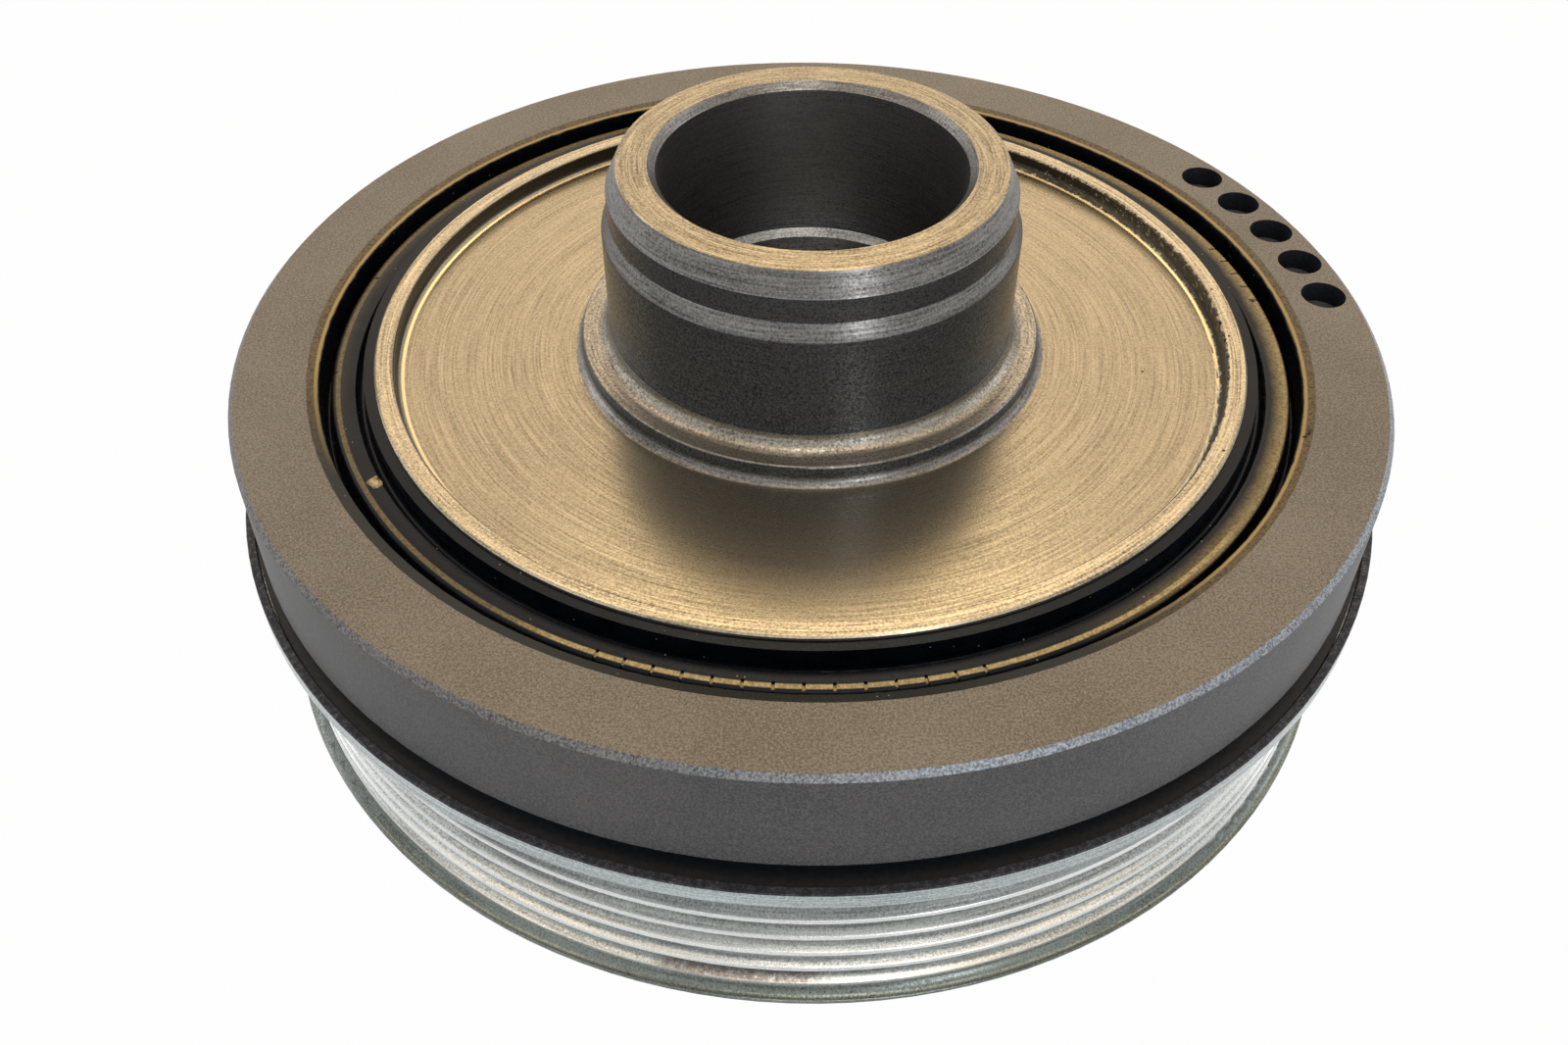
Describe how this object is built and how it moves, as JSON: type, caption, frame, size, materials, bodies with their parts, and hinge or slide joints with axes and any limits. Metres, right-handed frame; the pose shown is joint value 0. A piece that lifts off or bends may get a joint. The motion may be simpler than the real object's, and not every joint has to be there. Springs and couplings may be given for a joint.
{
  "type": "harmonic balancer",
  "caption": "Crankshaft harmonic balancer: hub with a bored nose, rubber-bonded black inertia ring, and a zinc-plated multi-groove belt pulley on a rubber coupling.",
  "frame": {"origin": "centre of the pulley's outer face, the flat face that the balancer rests on, on the axis of rotation", "axes": "+Z along the axis of rotation towards the engine, out of the hub's nose; +X is the picture's right"},
  "size_m": [0.164, 0.164, 0.0718],
  "materials": {
    "turned_steel": "bare turned steel, lightly oiled, fine circular tool marks",
    "damper_rubber": "moulded black rubber, half gloss",
    "coated_iron": "satin black electro-coat with a fine orange-peel",
    "zinc_plated_steel": "bright zinc plate with fine speckle and a little rust",
    "bearing_polymer": "matt moulded bearing polymer",
    "coated_steel": "matt black coat, worn grey on the sheared edge",
    "coupling_rubber": "matt black rubber",
    "sleeve_steel": "plain drawn steel"
  },
  "bodies": {
    "root": {"hub": "turned_steel", "damper_rubber": "damper_rubber", "inertia_ring": "coated_iron", "pulley": "zinc_plated_steel", "bearing_bush": "bearing_polymer", "coupling_shell": "coated_steel", "coupling_rubber": "coupling_rubber", "coupling_sleeve": "sleeve_steel"}
  },
  "joints": []
}
